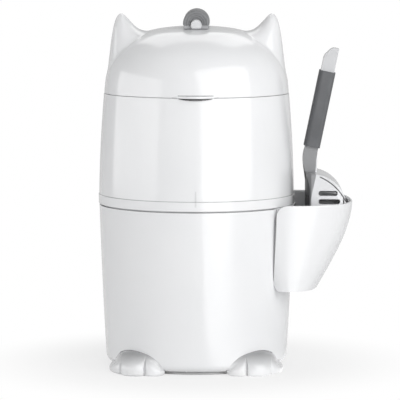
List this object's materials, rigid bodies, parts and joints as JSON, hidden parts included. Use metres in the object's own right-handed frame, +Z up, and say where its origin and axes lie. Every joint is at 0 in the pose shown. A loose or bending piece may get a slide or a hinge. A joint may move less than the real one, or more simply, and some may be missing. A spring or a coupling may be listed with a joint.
{
  "type": "litter disposal pail",
  "caption": "White cat-shaped litter disposal pail: hinged domed lid with ears and turning knob, tilting head with film cassette, bucket with paws, hook-on holder and scoop.",
  "frame": {"origin": "on the pail's vertical axis, at the floor it stands on", "axes": "+Z up along the pail's axis, -Y towards its front with the paws, +X towards the scoop holder"},
  "size_m": [0.3077, 0.2487, 0.433],
  "materials": {
    "white_gloss": "smooth injection-moulded white plastic with a soft gloss",
    "inner_white": "satin off-white moulded plastic, inner pieces",
    "pale_grey": "smooth pale grey moulded plastic",
    "soft_grey": "soft mid-grey overmould, matt",
    "dark_grey": "dark grey moulded plastic, fine matt texture",
    "grey_rubber": "soft grey sealing rubber",
    "foot_rubber": "dark grey grip rubber",
    "film": "thin pale blue-grey plastic film, pleated",
    "steel": "plain stainless steel"
  },
  "bodies": {
    "base": {"bucket": "white_gloss", "foot_ring": "foot_rubber", "paw_left": "white_gloss", "paw_right": "white_gloss", "paw_screws": "steel", "head_hinge_pin": "steel", "scoop_holder": "white_gloss", "holder_liner": "dark_grey"},
    "head": {"collar_band": "white_gloss", "collar_screws": "steel", "head_housing": "white_gloss", "lid_hinge_pin": "steel", "refill_seat": "inner_white", "seat_screws": "steel", "diaphragm": "grey_rubber", "clamp_ring": "inner_white", "clamp_screws": "steel"},
    "cassette": {"cassette_tub": "inner_white", "cassette_cap": "inner_white", "film_pack": "film", "film_sleeve": "film"},
    "lid": {"lid_shell": "white_gloss", "lid_liner": "inner_white", "liner_screws": "steel", "lid_seal": "grey_rubber", "spindle_bush": "inner_white"},
    "knob": {"knob_core": "white_gloss", "knob_grip": "soft_grey", "knob_pin": "steel", "spindle": "steel", "drive_spider": "inner_white", "end_screw": "steel"},
    "scoop": {"scoop": "pale_grey", "scoop_grip": "soft_grey"}
  },
  "joints": [
    {"name": "head_tilt", "type": "hinge", "parent": "base", "child": "head", "pos_m": [0, 0.125, 0.1915], "axis": [-1, 0, 0], "range_deg": [0, 95]},
    {"name": "lid_open", "type": "hinge", "parent": "head", "child": "lid", "pos_m": [0, 0.1186, 0.327], "axis": [-1, 0, 0], "range_deg": [0, 95]},
    {"name": "cassette_turn", "type": "hinge", "parent": "head", "child": "cassette", "pos_m": [0, 0, 0.285], "axis": [0, 0, 1], "continuous": true},
    {"name": "knob_turn", "type": "hinge", "parent": "lid", "child": "knob", "pos_m": [0, 0, 0.417], "axis": [0, 0, 1], "continuous": true},
    {"name": "scoop_lift", "type": "slide", "parent": "base", "child": "scoop", "axis": [0, 0, 1], "range_m": [0, 0.12]}
  ],
  "couplings": [
    {"joint": "knob_turn", "follows": "cassette_turn", "ratio": 1}
  ]
}
